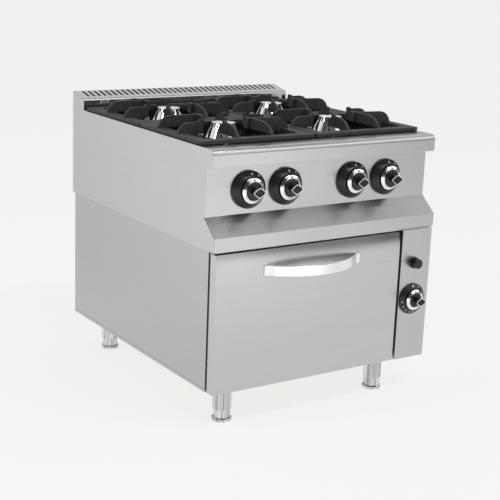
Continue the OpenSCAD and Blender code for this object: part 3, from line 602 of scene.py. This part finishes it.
def knob(name, shape):
    """A knob round its spindle, as a black body and bright trims. Returns its place on the sheet."""
    low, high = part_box(name)
    place = Vector(((low.x + high.x) / 2, high.y + NECK_BACK * MM, (low.z + high.z) / 2))
    radius = half_width(name) - shape["ring_in"]
    reach = (place.y - low.y) / MM
    back, hub = shape["back"], shape["hub"]
    wide, tall = shape["grip"]
    body = lathe(hub_profile(radius, hub, back), place, OUT, closed=True)
    shapes = [body, grip(place, wide, tall, back, reach), pointer(place, radius, back)]
    shapes += ribs(place, wide - 2.4, tall - 2.2, reach - 2, reach - 0.5)
    black = piece(name + "_grip", *joined(shapes), GRIP_BLACK, name, "black_plastic", sharp=30)
    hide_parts(name)
    ring = lathe(ring_profile(radius, hub, back), place, OUT, closed=True)
    trim = trim_band(place, wide, tall, reach - 3.4, reach)
    piece(name + "_trim", *joined([ring, trim]), CHROME, name, "polished", sharp=28)
    return place


def mark(place, rim, front, clock, size, along, steps=20):
    """A printed oval on a bezel's flank. Rim and front are (radius, height) in millimetres."""
    middle = math.radians(90 - clock * 30)
    radius = rim[0] + (front[0] - rim[0]) * along
    rings = []
    for lift in MARK_LIFT:
        ring = []
        for k in range(steps):
            turn = math.tau * k / steps
            share = along + size[1] * math.sin(turn) / math.dist(rim, front)
            angle = middle + size[0] * math.cos(turn) / radius
            out = rim[0] + (front[0] - rim[0]) * share + lift * 0.6
            up = rim[1] + (front[1] - rim[1]) * share + lift
            ring.append(place + Vector((out * math.cos(angle), -up, out * math.sin(angle))) * MM)
        rings.append(ring)
    return loft(rings)


def bezel(place, radius, side, inner, front, recess):
    """A dished bezel: rounded rim, flank that rises to the inner edge, and a recess round the knob."""
    rim = arc((radius - BEZEL_LIP, side - BEZEL_LIP), BEZEL_LIP, 0, 50, 2)
    profile = [(BEZEL_BORE, BEZEL_LIFT), (radius - 0.6, BEZEL_LIFT), (radius, 1.0)] + rim
    profile += [
        (inner + 1.4, front - 0.8), (inner + 0.5, front - 0.1), (inner - 0.6, front),
        (inner - 1.6, front - 0.6), (inner - 1.9, front - 1.6), (inner - 1.9, recess), (BEZEL_BORE, recess),
    ]
    return lathe(profile, place, OUT, closed=True)


def bezels(hob_places, oven_place):
    """All five bezels as one piece, and their printed marks as another."""
    low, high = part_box("knob_bezels")
    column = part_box("control_column")[0].y
    rim = ((high.z - hob_places[0].z) / MM, HOB_BEZEL["side"])
    front = (half_width("knob_1") + RING_GAP, HOB_KNOB["back"] - HOB_FRONT_IN)
    oven_rim = ((oven_place.z - low.z) / MM, OVEN_BEZEL["side"])
    oven_front = (half_width("oven_knob") + RING_GAP, (column - low.y) / MM)
    shapes, marks = [], []
    for place in hob_places:
        shapes.append(bezel(place, *rim, *front, HOB_BEZEL["recess"]))
        marks += [mark(place, rim, front, *where) for where in HOB_MARKS]
    shapes.append(bezel(oven_place, *oven_rim, *oven_front, OVEN_BEZEL["recess"]))
    marks += [mark(oven_place, oven_rim, oven_front, *where) for where in OVEN_MARKS]
    marks += [mark(oven_place, oven_rim, oven_front, clock, TICK_SIZE, 0.5) for clock in OVEN_TICKS]
    black = piece("bezels", *joined(shapes), BLACK, "range_body", "black_plastic", sharp=30)
    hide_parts("knob_bezels")
    piece("bezel_marks", *joined(marks), WHITE, "range_body", "enamel")


def knobs():
    places = [knob("knob_%d" % i, HOB_KNOB) for i in range(1, 5)]
    bezels(places, knob("oven_knob", OVEN_KNOB))


# ---- burner crowns ----

# Sizes in millimetres: how far the disc's edge is inside the skirt, the disc's height, the height and
# number of the slots under it, and how far the teeth reach in
DISC_IN = 19
DISC_HEIGHT = 4.5
SLOT_HEIGHT = 13.0
SLOTS = 18
TOOTH_DEPTH = 8
TOOTH_SHARE = 0.62


def crown_tooth(place, angle, half, foot, top, waist, neck):
    """One tooth between two slots, with a slightly rounded face, that leans in with the cone."""
    rings = []
    for z, r in ((foot - 0.3, waist - 0.4), ((foot + top) / 2, (waist + neck) / 2 - 0.3), (top, neck + 0.8)):
        section = (
            (neck - TOOTH_DEPTH, -half), (r, -half), (r + 0.25, -half * 0.5), (r + 0.35, 0),
            (r + 0.25, half * 0.5), (r, half), (neck - TOOTH_DEPTH, half),
        )
        rings.append([place + Vector((out * math.cos(angle + turn), out * math.sin(angle + turn), z)) * MM
                      for out, turn in section])
    return loft(rings)


def crown(name):
    """A bright cone with short slots under a thin flared disc, and a black cylinder behind the slots, which
    is painted shade for the crown's hollow inside.
    """
    low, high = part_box(name)
    place = Vector(((low.x + high.x) / 2, (low.y + high.y) / 2, low.z))
    radius = half_width(name)
    disc = radius - DISC_IN
    top = (high.z - low.z) / MM - DISC_HEIGHT
    foot = top - SLOT_HEIGHT
    neck = disc - 4.5
    waist = disc + 2.5
    cone = lathe([
        (radius - 3.5, 0), (radius - 0.3, 0), (radius, 0.6), (waist, foot), (waist - 9, foot),
        (waist + 4.0, foot * 0.5),
    ], place, UP, closed=True)
    cap = lathe([
        (0, top - 0.2), (disc - 3.5, top - 0.2), (disc - 0.5, top + 0.3), (disc, top + 0.9),
        (disc - 0.3, top + 1.5), (disc - 1.6, top + 1.8), (disc - 12, top + 3.3), (disc - 24, top + 4.2),
        (0, top + DISC_HEIGHT),
    ], place, UP)
    half = math.pi / SLOTS * TOOTH_SHARE
    teeth = [crown_tooth(place, math.tau * k / SLOTS, half, foot, top, waist, neck) for k in range(SLOTS)]
    bright = piece(name + "_look", *joined([cone, cap] + teeth), CHROME, name, "plated_steel", sharp=30)
    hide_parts(name)
    # Painted shade: a black enamel cylinder inside the crown that makes the slots read dark.
    slot_shade = lathe([(neck - 7, foot - 0.2), (neck - 7, top)], place, UP, 48)
    piece(name + "_core", *slot_shade, WELL_BLACK, name, "enamel", sharp=30)


# ---- sheet details ----

def fascia_hem(radius=2.4, end_gap=0.8):
    """The rolled bottom edge of the worktop's front fold, in millimetres."""
    low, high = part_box("worktop")
    section = arc((radius, radius), radius, 0, 340, 17)
    rings = []
    for x in (low.x + end_gap * MM, high.x - end_gap * MM):
        rings.append([Vector((x, low.y + y * MM, low.z + z * MM)) for y, z in section])
    piece("fascia_hem", *loft(rings), STEEL_X, "range_body", "stainless")


def door_edge_shade(depth=4.5, proud=0.35, end_gap=2.0):
    """Painted shade: black strips along the door's two upright edges, that darken the gap where the skin
    meets the range's front.
    """
    low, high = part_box("door_shell")
    front, back = high.y - depth * MM, high.y
    shapes = []
    for x, out in ((low.x, -proud), (high.x, proud)):
        a, b = sorted((x + out * MM, x - 3 * out * MM))
        rings = [[Vector((a, front, z)), Vector((b, front, z)), Vector((b, back, z)), Vector((a, back, z))]
                 for z in (low.z + end_gap * MM, high.z - end_gap * MM)]
        shapes.append(loft(rings))
    # The strips use the seal's black rubber as painted shade for the gap.
    piece("door_edge_shade", *joined(shapes), SEAL, "door", "gasket")


def cut(bm, place, normal):
    """Cuts a mesh's faces along a plane."""
    geometry = bm.verts[:] + bm.edges[:] + bm.faces[:]
    bmesh.ops.bisect_plane(bm, geom=geometry, dist=1e-6, plane_co=place, plane_no=normal)


def door_front(bow=8.0, zone=56.0, steps=8, skin=3.0):
    """The door's outer skin, whose top zone leans back by up to bow millimetres, more to the right."""
    source = nodes["door_shell"]
    low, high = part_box("door_shell")
    start = high.z - zone * MM
    bm = bmesh.new()
    bm.from_mesh(source.data)
    bm.transform(source.matrix_world)
    for k in range(steps):
        cut(bm, (0, 0, high.z - zone * MM * (1 - k / steps)), UP)
    for k in range(1, steps):
        cut(bm, (low.x + (high.x - low.x) * k / steps, 0, 0), (1, 0, 0))
    for vert in bm.verts:
        up = (vert.co.z - start) / (zone * MM)
        if vert.co.y < low.y + skin * MM and up > 0:
            across = (vert.co.x - low.x) / (high.x - low.x)
            vert.co.y += bow * MM * min(up, 1) ** 2 * (0.5 + 0.5 * min(across * 1.5, 1))
    mesh = bpy.data.meshes.new("door_front")
    bm.to_mesh(mesh)
    bm.free()
    smooth(mesh, 30)
    mesh.materials.append(STEEL_X)
    obj = bpy.data.objects.new("door_front", mesh)
    bpy.context.scene.collection.objects.link(obj)
    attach(obj, "door")
    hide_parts("door_shell")
    round_edges(obj, 1.0, 3, 40)


def dress_hob():
    for i in range(1, 5):
        dress("pan_support_%d" % i, IRON, 1.6, 3)
        crown("burner_crown_%d" % i)
        dress("foot_%d" % i, LEG_STEEL, 0.4)
    knobs()
    dress("igniter_body", GRIP_BLACK, 0.5)
    dress("igniter_button", GRIP_BLACK, 0.8)


# ---- studio ----

# Sizes in metres and degrees, power in watts
FLOOR_REACH = 30.0
FRONT_STRIP = {"place": (0.3, -2.3, 4.4), "target": (0, -0.3, 0.8), "size": (3.0, 0.5), "power": 45}
KEY_LEFT = {"place": (-3.7, 0.3, 3.1), "target": (0, 0, 0.8), "size": (0.45, 1.8), "power": 32}

# The surround's brightness, as (height of the direction, level) to the front left, front right and rear,
# and where along X and Y one side blends into the next
WORLD_GLOW = 2.4
WORLD_LEFT = ((0.0, 0.3), (0.2, 0.05), (0.72, 0.05), (0.85, 0.3), (1.0, 0.3))
WORLD_RIGHT = ((0.0, 0.3), (0.1, 0.1), (0.22, 0.1), (0.34, 1.3), (0.64, 1.4), (0.74, 0.46), (1.0, 0.4))
WORLD_REAR = (
    (0.0, 0.5), (0.2, 0.35), (0.24, 1.2), (0.27, 1.2), (0.31, 0.4),
    (0.38, 0.85), (0.64, 0.85), (0.72, 0.46), (1.0, 0.4),
)
LEFT_TO_RIGHT = (0.0, 0.3)
FRONT_TO_REAR = (0.05, 0.45)
BACKDROP = 0.92

# The camera: where it looks from, how far it stands, and how far the object is off the view's middle
VIEW = {"turn": -33.99, "lift": 14.53, "roll": 2.30, "distance": 3.809, "across": -0.0153, "rise": 0.0739}
VIEW_CENTER = (0, 0.028, 0.46)
FOCAL_LENGTH = 84.52
SENSOR_WIDTH = 36
CLIP_END = 100


def softbox(name, place, target, size, power):
    data = bpy.data.lights.new(name, "AREA")
    data.shape = "RECTANGLE"
    data.size, data.size_y = size
    data.energy = power
    lamp = bpy.data.objects.new(name, data)
    lamp.location = place
    lamp.rotation_euler = (Vector(target) - Vector(place)).to_track_quat("-Z", "Y").to_euler()
    bpy.context.scene.collection.objects.link(lamp)


def floor():
    """A wide pale floor that reaches past the top of the view."""
    a, b = -FLOOR_REACH, FLOOR_REACH
    mesh = bpy.data.meshes.new("floor")
    mesh.from_pydata([(a, a, 0), (b, a, 0), (b, b, 0), (a, b, 0)], [], [(0, 1, 2, 3)])
    mesh.materials.append(painted_glow_floor("pale_floor"))
    obj = bpy.data.objects.new("floor", mesh)
    bpy.context.scene.collection.objects.link(obj)


def grey(level):
    """A world colour that gives a level once it is multiplied by the world's strength."""
    return (level / WORLD_GLOW, level / WORLD_GLOW, level / WORLD_GLOW, 1)


def world():
    """A soft surround that the object reflects, and a plain pale backdrop that the camera sees."""
    scene_world = bpy.data.worlds.new("studio")
    bpy.context.scene.world = scene_world
    scene_world.use_nodes = True
    tree = scene_world.node_tree
    background = tree.nodes["Background"]
    place = tree.nodes.new("ShaderNodeTexCoord")
    parts = tree.nodes.new("ShaderNodeSeparateXYZ")
    tree.links.new(place.outputs["Generated"], parts.inputs[0])

    def ramp(stops):
        node = tree.nodes.new("ShaderNodeValToRGB")
        node.color_ramp.interpolation = "EASE"
        elements = node.color_ramp.elements
        while len(elements) < len(stops):
            elements.new(0.5)
        for element, (at, level) in zip(elements, stops):
            element.position = at
            element.color = grey(level)
        tree.links.new(parts.outputs["Z"], node.inputs["Fac"])
        return node.outputs["Color"]

    def color_mix():
        mix = tree.nodes.new("ShaderNodeMix")
        mix.data_type = "RGBA"
        return mix

    def blend(first, second, axis, turn):
        share = tree.nodes.new("ShaderNodeMapRange")
        share.inputs["From Min"].default_value = turn[0]
        share.inputs["From Max"].default_value = turn[1]
        tree.links.new(parts.outputs[axis], share.inputs["Value"])
        mix = color_mix()
        tree.links.new(share.outputs["Result"], mix.inputs["Factor"])
        tree.links.new(first, mix.inputs["A"])
        tree.links.new(second, mix.inputs["B"])
        return mix.outputs["Result"]

    front = blend(ramp(WORLD_LEFT), ramp(WORLD_RIGHT), "X", LEFT_TO_RIGHT)
    whole = blend(front, ramp(WORLD_REAR), "Y", FRONT_TO_REAR)
    seen = tree.nodes.new("ShaderNodeLightPath")
    shown = color_mix()
    shown.inputs["B"].default_value = grey(BACKDROP)
    tree.links.new(seen.outputs["Is Camera Ray"], shown.inputs["Factor"])
    tree.links.new(whole, shown.inputs["A"])
    tree.links.new(shown.outputs["Result"], background.inputs["Color"])
    background.inputs["Strength"].default_value = WORLD_GLOW


def studio():
    world()
    floor()
    softbox("front_strip", **FRONT_STRIP)
    softbox("key_left", **KEY_LEFT)


def camera():
    """The view of the reference: from the front left, a little above, with a slight roll."""
    turn, lift, roll = (math.radians(VIEW[angle]) for angle in ("turn", "lift", "roll"))
    back = Vector((math.sin(turn) * math.cos(lift), -math.cos(turn) * math.cos(lift), math.sin(lift)))
    right = Vector((math.cos(turn), math.sin(turn), 0))
    up = back.cross(right)
    right_rolled = right * math.cos(roll) + up * math.sin(roll)
    up_rolled = up * math.cos(roll) - right * math.sin(roll)
    aim = Vector(VIEW_CENTER) - right_rolled * VIEW["across"] - up_rolled * VIEW["rise"]
    data = bpy.data.cameras.new("view")
    data.lens = FOCAL_LENGTH
    data.sensor_width = SENSOR_WIDTH
    data.clip_end = CLIP_END
    obj = bpy.data.objects.new("view", data)
    axes = Matrix((right_rolled, up_rolled, back)).transposed()
    obj.matrix_world = Matrix.Translation(aim + back * VIEW["distance"]) @ axes.to_4x4()
    bpy.context.scene.collection.objects.link(obj)
    bpy.context.scene.camera = obj


camera()
studio()
dress_body()
dress_inside()
dress_door()
dress_hob()
fascia_hem()
door_edge_shade()
bpy.context.scene.view_settings.view_transform = "Standard"
